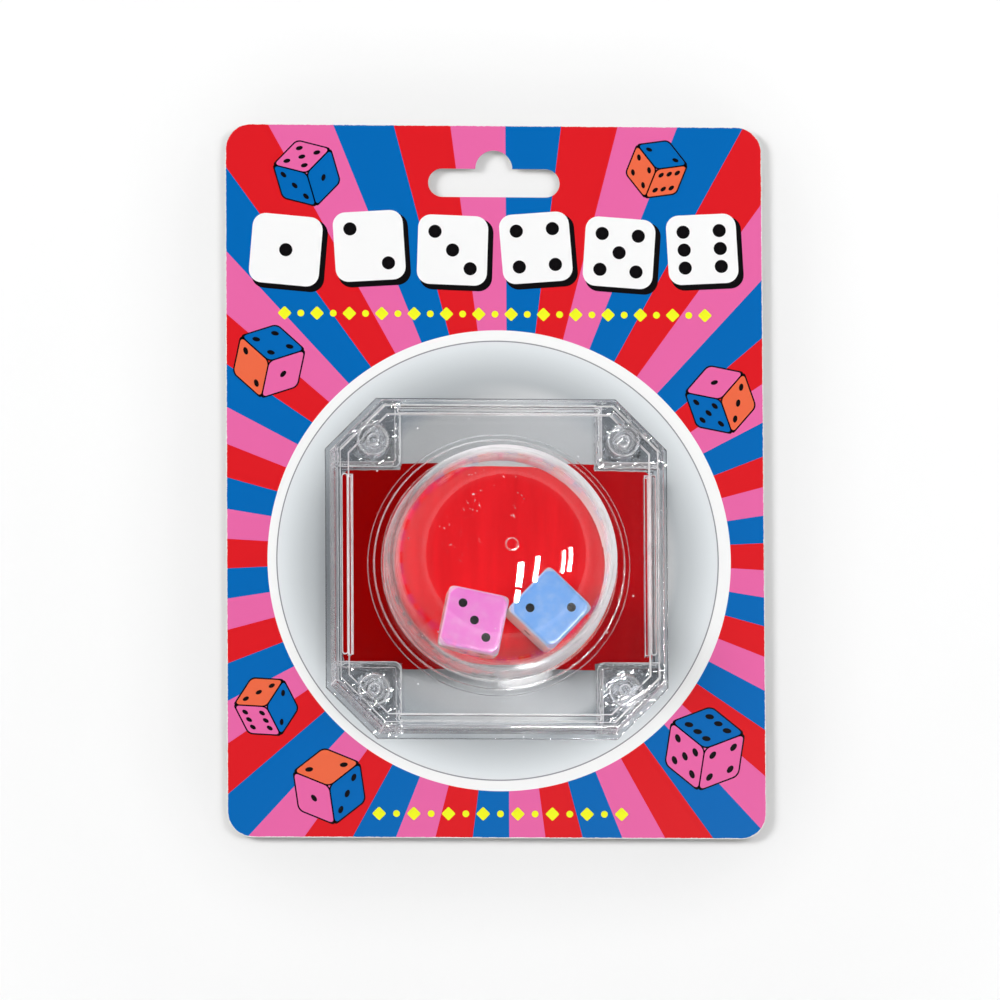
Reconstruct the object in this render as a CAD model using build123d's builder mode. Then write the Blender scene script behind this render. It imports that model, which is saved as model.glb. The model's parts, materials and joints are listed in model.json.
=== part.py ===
"""Pop-up dice game on a hanging card.

A round-cornered card with a hang hole carries a clear octagonal popper.  The popper's tray is
stuck to the card by four glue dots, its cover presses onto the tray's pins, and a tall clear dome
is caught under the cover's round opening.  Pressing the dome flattens the bowed tin sheet below
it, which snaps back and throws the two dice.

Frame: the origin is the middle of the card's back face, +Z points out of the card's front and +Y
points to the hang hole.  Everything is in millimetres.
"""

import os
from math import asin, cos, degrees, radians, sin, sqrt

from build123d import *

# ---------------------------------------------------------------- card
CARD_WIDTH = 133.35
CARD_HEIGHT = 177.8
CARD_THICKNESS = 0.6
CARD_CORNER_RADIUS = 6.35
HANG_SLOT_LENGTH = 32.7
HANG_SLOT_WIDTH = 7.1
HANG_BUMP_RADIUS = 4.6
HANG_SLOT_BELOW_TOP = 14.45  # card's top edge to the slot's middle line
POPPER_ABOVE_BOTTOM = 66.7  # card's bottom edge to the popper's centre

# ---------------------------------------------------------------- glue dots
GLUE_DOT_RADIUS = 5.0
GLUE_DOT_THICKNESS = 1.0
GLUE_DOT_EDGE = 0.3  # chamfer of the dot's upper edge

# ---------------------------------------------------------------- tray
TRAY_WIDTH = 84.8  # across the flats, to the lip's edge
TRAY_CHAMFER = 12.7  # leg of each 45 degree corner
FLOOR_THICKNESS = 1.4
LIP_WIDTH = 1.2  # how far the floor stands out past the cover
TONGUE_THICKNESS = 1.2  # of the four upright tongues that the cover slips over
TONGUE_HEIGHT = 3.0
RAIL_WIDTH = 4.0
RAIL_HEIGHT = 0.6
PIN_RADIUS = 1.35
BOSS_SPACING = 62.0  # between pin centres, along X and along Y

# ---------------------------------------------------------------- cover
COVER_WALL = 1.35
COVER_DRAFT = 3.0  # degrees, on the outer wall
DECK_THICKNESS = 1.3
FRAME_RISE = 0.7  # the frame round the window stands this far above the deck
RIM_RISE = 0.7  # and the rim this far above the frame
RIM_WIDTH = 2.0
FRAME_WIDTH = 2.0
RIM_EDGE_RADIUS = 0.5
SLOT_WIDTH = 1.1
SIDE_SLOT_LENGTH = 44.5
END_SLOT_LENGTH = 50.0
CATCH_RIB = 1.0  # thickness of the ribs that hold the sheet's ends down
POCKET_WALL = 1.1
POCKET_CORNER_RADIUS = 1.6
BOSS_RADIUS = 3.8
BOSS_DISH_DEPTH = 0.4
COLLAR_WIDTH = 2.0
COLLAR_RISE = 0.6
GATE_SLOT_LENGTH = 3.6
GATE_SLOT_WIDTH = 0.9
GATE_SLOT_OFFSET = 4.7  # along the corner, from its middle
GATE_SLOT_INSET = 4.4  # in from the corner's edge

# ---------------------------------------------------------------- dome
DOME_INNER_RADIUS = 27.3
DOME_WALL = 1.2
DOME_STRAIGHT = 11.5  # upright wall above the flange, before the round crown
DOME_DRAFT = 0.3  # how far the upright wall leans in over its height
FLANGE_WIDTH = 4.0
FLANGE_THICKNESS = 1.2
SKIRT_DEPTH = 1.2  # below the flange
NOTCH_WIDTH = 9.5
NUB_RADIUS = 1.5
NUB_HEIGHT = 0.3
DOME_TRAVEL = 1.8

# ---------------------------------------------------------------- spring sheet
SHEET_THICKNESS = 0.3
SHEET_WIDTH = 51.2
SHEET_SHOULDER_LENGTH = 48.0  # length of the wide middle part
SHEET_SHOULDER = 1.6  # how far the middle part is wider than the ends, each side
SHEET_CORNER_RADIUS = 2.0
BOW_WHEN_PRESSED = 1.2
CATCH_ROOM = 0.75  # the sheet's ends may lift this far before the cover's ribs catch them

# ---------------------------------------------------------------- dice
DIE_SIZE = 15.0
DIE_EDGE_RADIUS = 1.0
DIE_BALL_RADIUS = 11.6  # the ball that takes the cube's corners off
PINK_TURN = -11.7  # degrees about Z
BLUE_TURN = 46.0
PINK_BEARING = -115.0  # degrees, where the pink die lies round the dome's axis
DICE_SKEW = 19.3  # degrees between the pink die's face and the line to the blue die

# ---------------------------------------------------------------- clearances
FIT_GAP = 0.15  # between moulded pieces that slide together
SEAT_GAP = 0.05  # between faces that rest on each other
PIN_GAP = 0.04  # pin in boss, radial
SHEET_GAP = 0.2  # round the sheet's edges
DOME_GAP = 0.5  # dome in the cover's opening, radial
DIE_GAP = 0.3  # dice to the dome's wall and to each other

# ---------------------------------------------------------------- places that follow
popper_y = POPPER_ABOVE_BOTTOM - CARD_HEIGHT / 2
tray_z = CARD_THICKNESS + GLUE_DOT_THICKNESS
floor_z = tray_z + FLOOR_THICKNESS
rail_z = floor_z + RAIL_HEIGHT
sheet_bow = DOME_TRAVEL + BOW_WHEN_PRESSED
sheet_end_z = rail_z + SEAT_GAP
sheet_top_z = sheet_end_z + SHEET_THICKNESS + sheet_bow
skirt_z = sheet_top_z + SEAT_GAP
flange_z = skirt_z + SKIRT_DEPTH
deck_under_z = flange_z + FLANGE_THICKNESS + FIT_GAP
deck_z = deck_under_z + DECK_THICKNESS
frame_z = deck_z + FRAME_RISE
rim_z = frame_z + RIM_RISE

cover_half = TRAY_WIDTH / 2 - LIP_WIDTH
cover_inside = cover_half - COVER_WALL
tongue_inside = cover_inside - FIT_GAP - TONGUE_THICKNESS
window_half = cover_half - RIM_WIDTH - FRAME_WIDTH
slot_middle = window_half + FRAME_WIDTH / 2 - SEAT_GAP

# The corner's edge runs at 45 degrees, this far from the popper's centre.
corner_distance = (TRAY_WIDTH - TRAY_CHAMFER) / sqrt(2)
gate_slot_x = (corner_distance - GATE_SLOT_INSET - GATE_SLOT_OFFSET) / sqrt(2)
gate_slot_y = (corner_distance - GATE_SLOT_INSET + GATE_SLOT_OFFSET) / sqrt(2)

sheet_half_length = tongue_inside - SHEET_GAP
sheet_end_width = SHEET_WIDTH - 2 * SHEET_SHOULDER
pocket_x = SHEET_SHOULDER_LENGTH / 2 + 2 * SHEET_GAP
pocket_y = sheet_end_width / 2 + 2 * SHEET_GAP

dome_outer_radius = DOME_INNER_RADIUS + DOME_WALL
flange_radius = dome_outer_radius + FLANGE_WIDTH
opening_radius = dome_outer_radius + DOME_GAP
crown_z = flange_z + FLANGE_THICKNESS + DOME_STRAIGHT
crown_outer_radius = dome_outer_radius - DOME_DRAFT
crown_inner_radius = DOME_INNER_RADIUS - DOME_DRAFT

# A die turned by 45 degrees reaches this far: half its diagonal, less what the rounding takes off.
die_corner_reach = sqrt(2) * DIE_SIZE / 2 - (sqrt(2) - 1) * DIE_EDGE_RADIUS
dice_ring_radius = DOME_INNER_RADIUS - die_corner_reach - DIE_GAP
dice_pitch = (DIE_SIZE / 2 + die_corner_reach + DIE_GAP) / cos(radians(DICE_SKEW))
blue_bearing = PINK_BEARING + 2 * degrees(asin(dice_pitch / 2 / dice_ring_radius))

boss_places = GridLocations(BOSS_SPACING, BOSS_SPACING, 2, 2)
popper_plane = Plane((0, popper_y, 0))


def level(height):
    """The plane over the popper's centre at this height."""
    return popper_plane.offset(height)


def octagon(half_width, mode=Mode.ADD):
    """The popper's outline at this distance from its centre, its corners cut at 45 degrees.

    It is called inside a sketch, and keeps all eight sides parallel to the tray's edge.
    """
    inset = TRAY_WIDTH / 2 - half_width
    leg = TRAY_CHAMFER - (2 - sqrt(2)) * inset
    with BuildSketch(mode=Mode.PRIVATE) as outline:
        Rectangle(2 * half_width, 2 * half_width)
        chamfer(outline.vertices(), leg)
    add(outline.sketch, mode=mode)


def finish(piece, name):
    """Labels a finished piece and writes its file."""
    piece.part.label = name
    export_step(piece.part, f"parts/{name}.step")


os.makedirs("parts", exist_ok=True)

# ---------------------------------------------------------------- backing card
with BuildPart() as backing_card:
    with BuildSketch():
        RectangleRounded(CARD_WIDTH, CARD_HEIGHT, CARD_CORNER_RADIUS)
        with Locations((0, CARD_HEIGHT / 2 - HANG_SLOT_BELOW_TOP)):
            SlotOverall(HANG_SLOT_LENGTH, HANG_SLOT_WIDTH, mode=Mode.SUBTRACT)
            with Locations((0, HANG_SLOT_WIDTH / 2)):
                Circle(HANG_BUMP_RADIUS, mode=Mode.SUBTRACT)
    extrude(amount=CARD_THICKNESS)
finish(backing_card, "backing_card")

# ---------------------------------------------------------------- glue dots
for number, place in enumerate(boss_places, start=1):
    with BuildPart() as glue_dot:
        with BuildSketch(level(CARD_THICKNESS)):
            with Locations(place):
                Circle(GLUE_DOT_RADIUS)
        extrude(amount=GLUE_DOT_THICKNESS)
        chamfer(glue_dot.edges().group_by(Axis.Z)[-1], GLUE_DOT_EDGE)
    finish(glue_dot, f"glue_dot_{number}")

# ---------------------------------------------------------------- base tray
with BuildPart() as base_tray:
    with BuildSketch(level(tray_z)):
        octagon(TRAY_WIDTH / 2)
    extrude(amount=FLOOR_THICKNESS)
    # Upright tongues along the four sides, between the cover's corner pockets.
    with BuildSketch(level(floor_z)):
        with GridLocations(2 * tongue_inside + TONGUE_THICKNESS, 0, 2, 1):
            Rectangle(TONGUE_THICKNESS, 2 * (pocket_y - FIT_GAP))
        with GridLocations(0, 2 * tongue_inside + TONGUE_THICKNESS, 1, 2):
            Rectangle(2 * (pocket_x - FIT_GAP), TONGUE_THICKNESS)
    extrude(amount=TONGUE_HEIGHT)
    # Rails that the sheet's two ends stand on.
    with BuildSketch(level(floor_z)):
        with GridLocations(2 * tongue_inside - RAIL_WIDTH, 0, 2, 1):
            Rectangle(RAIL_WIDTH, sheet_end_width)
    extrude(amount=RAIL_HEIGHT)
    with BuildSketch(level(floor_z)):
        with boss_places:
            Circle(PIN_RADIUS)
    extrude(amount=deck_under_z - floor_z - FIT_GAP)
finish(base_tray, "base_tray")

# ---------------------------------------------------------------- top cover
with BuildPart() as top_cover:
    with BuildSketch(level(floor_z + SEAT_GAP)):
        octagon(cover_half)
    extrude(amount=rim_z - floor_z - SEAT_GAP, taper=COVER_DRAFT)
    fillet(top_cover.edges().group_by(Axis.Z)[-1], RIM_EDGE_RADIUS)
    # The rim's inner step, the sunk window and the hollow underneath.
    with BuildSketch(level(frame_z)):
        octagon(cover_half - RIM_WIDTH)
    extrude(amount=RIM_RISE, mode=Mode.SUBTRACT)
    with BuildSketch(level(deck_z)):
        octagon(window_half)
    extrude(amount=FRAME_RISE, mode=Mode.SUBTRACT)
    with BuildSketch(level(floor_z + SEAT_GAP)):
        octagon(cover_inside)
    extrude(amount=deck_under_z - floor_z - SEAT_GAP, mode=Mode.SUBTRACT)
    # Two walls round each corner pocket, which also key the sheet's shoulders.
    with BuildSketch(level(deck_under_z)):
        with BuildSketch(mode=Mode.PRIVATE) as pocket:
            with Locations((pocket_x, pocket_y)):
                Rectangle(cover_half - pocket_x, cover_half - pocket_y, align=Align.MIN)
            fillet(pocket.vertices().sort_by_distance((0, 0))[0], POCKET_CORNER_RADIUS)
            offset(amount=-POCKET_WALL, mode=Mode.SUBTRACT)
            octagon(cover_inside + SEAT_GAP, mode=Mode.INTERSECT)
        add(pocket.sketch)
        mirror(about=Plane.YZ)
        mirror(about=Plane.XZ)
    extrude(amount=-(deck_under_z - floor_z - FIT_GAP))
    # Bosses that take the tray's pins, dished on top where they shrink as they cool.
    with BuildSketch(level(deck_under_z)):
        with boss_places:
            Circle(BOSS_RADIUS)
            Circle(PIN_RADIUS + PIN_GAP, mode=Mode.SUBTRACT)
    extrude(amount=-(deck_under_z - floor_z - FIT_GAP))
    with BuildSketch(level(deck_z)):
        with boss_places:
            Circle(BOSS_RADIUS)
            Circle(PIN_RADIUS, mode=Mode.SUBTRACT)
    extrude(amount=-BOSS_DISH_DEPTH, mode=Mode.SUBTRACT)
    # Ribs that hold the sheet's ends down.
    with BuildSketch(level(deck_under_z)):
        with GridLocations(2 * (window_half - CATCH_RIB / 2), 0, 2, 1):
            Rectangle(CATCH_RIB, SIDE_SLOT_LENGTH)
    extrude(amount=-(deck_under_z - sheet_end_z - SHEET_THICKNESS - CATCH_ROOM))
    # Long slots just inside the rim, one along each side.
    with BuildSketch(level(deck_under_z)):
        with GridLocations(2 * slot_middle, 0, 2, 1):
            SlotOverall(SIDE_SLOT_LENGTH, SLOT_WIDTH, rotation=90)
        with GridLocations(0, 2 * slot_middle, 1, 2):
            SlotOverall(END_SLOT_LENGTH, SLOT_WIDTH)
    extrude(amount=rim_z - deck_under_z, mode=Mode.SUBTRACT)
    # A short slot along one corner, where the mould is gated.
    with BuildSketch(level(deck_under_z)):
        with Locations((gate_slot_x, gate_slot_y)):
            SlotOverall(GATE_SLOT_LENGTH, GATE_SLOT_WIDTH, rotation=-45)
    extrude(amount=rim_z - deck_under_z, mode=Mode.SUBTRACT)
    # The dome's opening, with a low collar round it.
    with BuildSketch(level(deck_z)):
        Circle(opening_radius + COLLAR_WIDTH)
    extrude(amount=COLLAR_RISE, taper=COVER_DRAFT)
    with BuildSketch(level(deck_under_z)):
        Circle(opening_radius)
    extrude(amount=rim_z - deck_under_z, mode=Mode.SUBTRACT)
finish(top_cover, "top_cover")

# ---------------------------------------------------------------- dome
with BuildPart() as dome:
    with BuildSketch(Plane.XZ.offset(-popper_y)):
        with BuildLine():
            base_out = (dome_outer_radius, flange_z + FLANGE_THICKNESS)
            Line(base_out, (crown_outer_radius, crown_z))
            CenterArc((0, crown_z), crown_outer_radius, 0, 90)
            Line((0, crown_z + crown_outer_radius), (0, crown_z + crown_inner_radius))
            CenterArc((0, crown_z), crown_inner_radius, 0, 90)
            Polyline(
                (crown_inner_radius, crown_z),
                (DOME_INNER_RADIUS, flange_z + FLANGE_THICKNESS),
                (DOME_INNER_RADIUS, skirt_z),
                (dome_outer_radius, skirt_z),
                (dome_outer_radius, flange_z),
                (flange_radius, flange_z),
                (flange_radius, flange_z + FLANGE_THICKNESS),
                base_out,
            )
        make_face()
    revolve(axis=Axis((0, popper_y, 0), (0, 0, 1)))
    # The skirt's two notches, and the gate's nub on top.
    with BuildSketch(level(skirt_z)):
        Rectangle(2 * flange_radius, NOTCH_WIDTH)
    extrude(amount=SKIRT_DEPTH, mode=Mode.SUBTRACT)
    with BuildSketch(level(crown_z + crown_outer_radius + NUB_HEIGHT)):
        Circle(NUB_RADIUS)
    extrude(amount=-(NUB_HEIGHT + DOME_WALL / 2))
finish(dome, "dome")

# ---------------------------------------------------------------- spring sheet
with BuildPart() as spring_sheet:
    with BuildSketch(Plane.XZ.offset(-popper_y)):
        with BuildLine():
            left = (-sheet_half_length, sheet_end_z)
            right = (sheet_half_length, sheet_end_z)
            under = ThreePointArc(left, (0, sheet_end_z + sheet_bow), right)
            offset(under, SHEET_THICKNESS, side=Side.LEFT)
        make_face()
    extrude(amount=SHEET_WIDTH / 2, both=True)
    with BuildSketch(level(floor_z)):
        ends = Rectangle(2 * sheet_half_length, sheet_end_width)
        fillet(ends.vertices(), SHEET_CORNER_RADIUS)
        Rectangle(SHEET_SHOULDER_LENGTH, SHEET_WIDTH)
    extrude(amount=deck_z - floor_z, mode=Mode.INTERSECT)
finish(spring_sheet, "spring_sheet")

# ---------------------------------------------------------------- dice
dice = {
    "die_pink": (PINK_BEARING, PINK_TURN),
    "die_blue": (blue_bearing, BLUE_TURN),
}
for name, (bearing, turn) in dice.items():
    centre_x = dice_ring_radius * cos(radians(bearing))
    centre_y = dice_ring_radius * sin(radians(bearing))
    with BuildPart(level(sheet_top_z + SEAT_GAP)) as die:
        with Locations((centre_x, centre_y, DIE_SIZE / 2)):
            Box(DIE_SIZE, DIE_SIZE, DIE_SIZE, rotation=(0, 0, turn))
            fillet(die.edges(), DIE_EDGE_RADIUS)
            Sphere(DIE_BALL_RADIUS, mode=Mode.INTERSECT)
    finish(die, name)
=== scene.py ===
"""Pop-up dice game on a hanging card: the dressed model.

The file is laid out as an add-on and is run as a script.  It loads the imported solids, gives each
one its moulded, lacquered or printed finish, adds the printed motifs, and sets the stage.
"""

import json
from math import atan, cos, pi, radians, sin, sqrt, tan

import bmesh
import bpy
from mathutils import Matrix, Vector

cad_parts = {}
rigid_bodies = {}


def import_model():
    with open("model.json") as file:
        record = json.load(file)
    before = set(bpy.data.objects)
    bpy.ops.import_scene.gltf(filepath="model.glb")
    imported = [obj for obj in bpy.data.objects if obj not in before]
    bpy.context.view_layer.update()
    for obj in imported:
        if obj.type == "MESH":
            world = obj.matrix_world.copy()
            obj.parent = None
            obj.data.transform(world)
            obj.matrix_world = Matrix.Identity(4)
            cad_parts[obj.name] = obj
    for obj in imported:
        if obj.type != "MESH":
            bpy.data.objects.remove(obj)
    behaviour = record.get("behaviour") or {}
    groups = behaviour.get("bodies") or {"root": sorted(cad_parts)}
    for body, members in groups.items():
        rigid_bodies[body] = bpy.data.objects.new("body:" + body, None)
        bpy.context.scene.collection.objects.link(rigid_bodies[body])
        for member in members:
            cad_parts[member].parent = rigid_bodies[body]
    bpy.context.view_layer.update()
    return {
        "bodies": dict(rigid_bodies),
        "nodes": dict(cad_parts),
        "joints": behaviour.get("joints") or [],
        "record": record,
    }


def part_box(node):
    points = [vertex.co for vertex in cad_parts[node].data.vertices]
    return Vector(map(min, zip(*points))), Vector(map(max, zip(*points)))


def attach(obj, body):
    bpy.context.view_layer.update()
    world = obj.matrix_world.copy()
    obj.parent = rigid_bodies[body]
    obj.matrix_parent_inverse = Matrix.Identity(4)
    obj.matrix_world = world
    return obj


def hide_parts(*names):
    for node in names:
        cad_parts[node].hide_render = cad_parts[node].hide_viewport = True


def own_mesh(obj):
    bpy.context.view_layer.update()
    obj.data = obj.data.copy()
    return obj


bl_info = {
    "name": "Pop-Up Dice Game",
    "version": (1, 0, 0),
    "blender": (4, 5, 0),
    "location": "View3D > Sidebar > Dice Game",
    "description": "Finishes, prints and a stage for a pop-up dice game on a hanging card",
    "category": "Add Mesh",
}

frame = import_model()

MM = 0.001
CARD_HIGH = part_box("backing_card")[1]
CARD_TOP = CARD_HIGH.z
POPPER = (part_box("base_tray")[0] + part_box("base_tray")[1]) / 2
POPPER.z = 0.0
PIN = 31.0 * MM  # from the popper's middle to each corner pin, along X and along Y

# Where each printed layer starts, just inside the card's face, and how high it goes.
OUTLINES, FACES, DOTS = (
    (CARD_TOP - 0.02 * MM, CARD_TOP + thick * MM) for thick in (0.02, 0.035, 0.05)
)


# -------------------------------- settings
def ink(red, green, blue):
    """A colour given as it looks on a screen, 0 to 255, as the shader wants it."""
    return tuple(
        c / 12.92 if c <= 0.04045 else ((c + 0.055) / 1.055) ** 2.4
        for c in (red / 255, green / 255, blue / 255)
    )


def colour(name, description, default):
    return bpy.props.FloatVectorProperty(
        name=name, description=description, subtype="COLOR", min=0, max=1, default=ink(*default)
    )


def real(name, description, default, **kind):
    return bpy.props.FloatProperty(name=name, description=description, default=default, **kind)


def length(name, description, default):
    return real(name, description, default * MM, unit="LENGTH", min=0)


def amount(name, description, default):
    return real(name, description, default, subtype="FACTOR", min=0, max=1)


def angle(name, description, default):
    return real(name, description, radians(default), subtype="ANGLE")


def watts(name, description, default):
    return real(name, description, default, unit="POWER")


class CardSettings(bpy.types.PropertyGroup):
    red: colour("Red ink", "Red rays of the sunburst", (224, 29, 37))
    blue: colour("Blue ink", "Blue rays, and faces of the printed dice", (2, 105, 184))
    pink: colour("Pink ink", "Pink rays, and faces of the printed dice", (235, 105, 169))
    orange: colour("Orange ink", "Faces of the printed dice", (240, 108, 72))
    yellow: colour("Yellow ink", "The two rows of beads", (245, 249, 38))
    black: colour("Black ink", "Outlines, drop shadows and pips", (16, 14, 16))
    white: colour("White board", "Ring, tiles and bare board", (250, 250, 250))
    line: colour("Ring line", "Thin line inside the white ring", (142, 142, 148))
    rays: bpy.props.IntProperty(name="Rays", description="Rays in the sunburst", min=3, default=54)
    ring_radius: length("Ring radius", "Outer radius of the white ring", 57.4)
    disc_radius: length("Disc radius", "Radius of the grey disc and its line", 54.7)
    line_width: length("Line width", "Width of the ring's thin line", 0.3)
    tile_size: length("Tile size", "Width of each white title tile", 17.4)
    tile_gap: length("Tile gap", "Space between the title tiles", 3.3)


class PlasticSettings(bpy.types.PropertyGroup):
    cover_tint: colour("Cover tint", "Colour of the clear cover and tray", (242, 244, 246))
    dome_tint: colour("Dome tint", "Colour of the clear dome", (252, 253, 253))
    roughness: amount("Roughness", "Roughness of the moulded faces", 0.03)
    edge: length("Edge rounding", "Rounding of the moulded edges", 0.2)


class SheetSettings(bpy.types.PropertyGroup):
    # Painted shade: the darker lacquer is the same red in shade, used outside the dome's circle.
    lacquer: colour("Lacquer", "Red lacquer in the middle of the tin sheet", (246, 36, 44))
    shaded: colour("Darker lacquer", "Red lacquer towards the sheet's two ends", (150, 2, 2))
    roughness: amount("Roughness", "Roughness of the lacquer", 0.3)


class DiceSettings(bpy.types.PropertyGroup):
    pink: colour("Pink face", "Top and bottom of the pink die", (250, 130, 220))
    blue: colour("Blue face", "Top and bottom of the blue die", (114, 172, 244))
    body: colour("Die body", "White plastic of the dice", (244, 242, 238))
    pip: colour("Pips", "Black of the pips", (14, 13, 14))
    pip_radius: length("Pip radius", "Radius of each pip", 1.1)


class StageSettings(bpy.types.PropertyGroup):
    distance: length("Camera distance", "From the card to the camera", 4000)
    lean_left: angle("Lean left", "Camera's angle towards -X", 4.7)
    lean_low: angle("Lean low", "Camera's angle towards -Y", 7.7)
    view_width: length("View width", "Width of what the camera sees", 247.2)
    key: watts("Key lamp", "Power of the lamp up on the left", 43.0)
    fill: watts("Fill lamp", "Power of the lamp up on the right", 4.0)


class DiceGameSettings(bpy.types.PropertyGroup):
    card: bpy.props.PointerProperty(type=CardSettings)
    plastic: bpy.props.PointerProperty(type=PlasticSettings)
    sheet: bpy.props.PointerProperty(type=SheetSettings)
    dice: bpy.props.PointerProperty(type=DiceSettings)
    stage: bpy.props.PointerProperty(type=StageSettings)


def settings():
    return bpy.context.scene.dice_game


# -------------------------------- nodes
class Tree:
    """Adds nodes to a material, a world or a group, and links them."""

    def __init__(self, tree):
        self.tree = tree

    def feed(self, socket, value):
        if isinstance(value, bpy.types.NodeSocket):
            self.tree.links.new(value, socket)
        elif hasattr(value, "__len__") and len(socket.default_value) == 4:
            socket.default_value = (*value[:3], 1.0)
        else:
            socket.default_value = value

    def add(self, kind, inputs=None, **options):
        node = self.tree.nodes.new(kind)
        for option, value in options.items():
            setattr(node, option, value)
        self.feed_all(node, inputs or {})
        return node

    def math(self, operation, a, b=0.0, clamp=False):
        node = self.add("ShaderNodeMath", {0: a, 1: b}, operation=operation, use_clamp=clamp)
        return node.outputs[0]

    def times(self, a, b, clamp=False):
        return self.math("MULTIPLY", a, b, clamp)

    def plus(self, a, b, clamp=False):
        return self.math("ADD", a, b, clamp)

    def minus(self, a, b, clamp=False):
        return self.math("SUBTRACT", a, b, clamp)

    def rest(self, a):
        """What is left of 1."""
        return self.minus(1.0, a)

    def most(self, a, b):
        return self.math("MAXIMUM", a, b)

    def least(self, a, b):
        return self.math("MINIMUM", a, b)

    def flat_reach(self, axes):
        """How far a point lies from the Z axis."""
        across, along = (self.math("POWER", axes[axis], 2.0) for axis in "XY")
        return self.math("SQRT", self.plus(across, along))

    def vector(self, operation, a, b=(0, 0, 0)):
        node = self.add("ShaderNodeVectorMath", {0: a, 1: b}, operation=operation)
        return node.outputs["Value" if operation == "LENGTH" else "Vector"]

    def step(self, value, low, high):
        """0 below low, 1 above high, and smooth between."""
        ends = {"Value": value, "From Min": low, "From Max": high}
        node = self.add("ShaderNodeMapRange", ends, interpolation_type="SMOOTHSTEP")
        return node.outputs["Result"]

    def mix(self, factor, a, b, blend="MIX"):
        node = self.add("ShaderNodeMix", data_type="RGBA", blend_type=blend)
        for index, value in ((0, factor), (6, a), (7, b)):
            self.feed(node.inputs[index], value)
        return node.outputs[2]

    def ramp(self, value, stops, interpolation="LINEAR"):
        node = self.add("ShaderNodeValToRGB", {"Fac": value})
        node.color_ramp.interpolation = interpolation
        elements = node.color_ramp.elements
        while len(elements) < len(stops):
            elements.new(0.5)
        for element, (place, shade) in zip(elements, stops):
            element.position = place
            element.color = (*shade[:3], 1.0)
        return node.outputs["Color"]

    def noise(self, vector, scale, detail=2.0, roughness=0.5, distortion=0.0):
        shape = {"Detail": detail, "Roughness": roughness, "Distortion": distortion}
        node = self.add("ShaderNodeTexNoise", {"Vector": vector, "Scale": scale, **shape})
        return node.outputs["Fac"]

    def place(self):
        """The point on the object, in metres, in the shared frame."""
        return self.add("ShaderNodeTexCoord").outputs["Object"]

    def past(self, vector, corner):
        """How far a point lies past the card's outline inset by corner, along X and along Y."""
        inset = (CARD_HIGH.x - corner, CARD_HIGH.y - corner, 1.0)
        out = self.vector("SUBTRACT", self.vector("ABSOLUTE", vector), inset)
        return self.vector("MAXIMUM", out)

    def moved(self, vector, location=(0, 0, 0), turn=0.0, scale=(1, 1, 1)):
        frame = {"Location": location, "Rotation": (0, 0, turn), "Scale": scale}
        node = self.add("ShaderNodeMapping", {"Vector": vector, **frame}, vector_type="TEXTURE")
        return node.outputs[0]

    def axes(self, vector):
        return self.add("ShaderNodeSeparateXYZ", {0: vector}).outputs

    def feed_all(self, node, values):
        for name, value in values.items():
            self.feed(node.inputs[name], value)

    def bump(self, height, distance, strength=1.0):
        shape = {"Height": height, "Distance": distance, "Strength": strength}
        return self.add("ShaderNodeBump", shape).outputs["Normal"]

    def group(self, tree, inputs):
        return self.add("ShaderNodeGroup", inputs, node_tree=tree).outputs


def new_group(name, inputs, outputs):
    """A node group with named sockets; returns its Tree and its two ends."""
    tree = bpy.data.node_groups.new(name, "ShaderNodeTree")
    for kind, sockets in (("INPUT", inputs), ("OUTPUT", outputs)):
        for socket_name, carried, default in sockets:
            socket_type = f"NodeSocket{carried}"
            socket = tree.interface.new_socket(socket_name, in_out=kind, socket_type=socket_type)
            if default is not None:
                socket.default_value = default
    nodes = Tree(tree)
    return nodes, nodes.add("NodeGroupInput").outputs, nodes.add("NodeGroupOutput").inputs


def board_grain():
    """Paper fibres and the fine tooth of coated board."""
    if "Board grain" in bpy.data.node_groups:
        return bpy.data.node_groups["Board grain"]
    t, given, out = new_group(
        "Board grain",
        [("Vector", "Vector", None), ("Amount", "Float", 1.0)],
        [("Shade", "Float", None), ("Height", "Float", None)],
    )
    fibres = t.noise(t.moved(given["Vector"], turn=0.4, scale=(1, 3.5, 1)), 1600, 3, 0.6)
    tooth = t.noise(given["Vector"], 5200, 1)
    mottle = t.noise(given["Vector"], 90, 3, 0.55)
    height = t.plus(t.times(fibres, 0.7), t.times(tooth, 0.3))
    uneven = t.plus(t.times(mottle, 0.6), t.times(height, 0.4))
    loss = t.times(t.rest(uneven), t.times(given["Amount"], 0.12))
    t.feed(out["Shade"], t.minus(1.06, loss, clamp=True))
    t.feed(out["Height"], height)
    return t.tree


def moulding_marks():
    """The slow waviness and fine drag of moulded plastic, with a few specks."""
    if "Moulding marks" in bpy.data.node_groups:
        return bpy.data.node_groups["Moulding marks"]
    t, given, out = new_group(
        "Moulding marks",
        [("Vector", "Vector", None), ("Wave scale", "Float", 120), ("Speck scale", "Float", 260)],
        [("Height", "Float", None), ("Specks", "Float", None)],
    )
    wave = t.noise(given["Vector"], given["Wave scale"], 2, 0.4, 0.6)
    where = {"Vector": given["Vector"], "Scale": given["Speck scale"]}
    cells = t.add("ShaderNodeTexVoronoi", where)
    rare = t.step(t.axes(cells.outputs["Color"])["X"], 0.9, 0.92)
    spot = t.rest(t.step(cells.outputs["Distance"], 0.04, 0.11))
    t.feed(out["Height"], wave)
    t.feed(out["Specks"], t.times(rare, spot))
    return t.tree


# -------------------------------- materials
def new_material(name):
    """An empty material; returns it, its Tree and its shader."""
    made = bpy.data.materials.new(name)
    made.use_nodes = True
    made.node_tree.nodes.clear()
    t = Tree(made.node_tree)
    shader = t.add("ShaderNodeBsdfPrincipled")
    end = t.add("ShaderNodeOutputMaterial")
    t.feed(end.inputs["Surface"], shader.outputs[0])
    return made, t, shader


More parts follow.
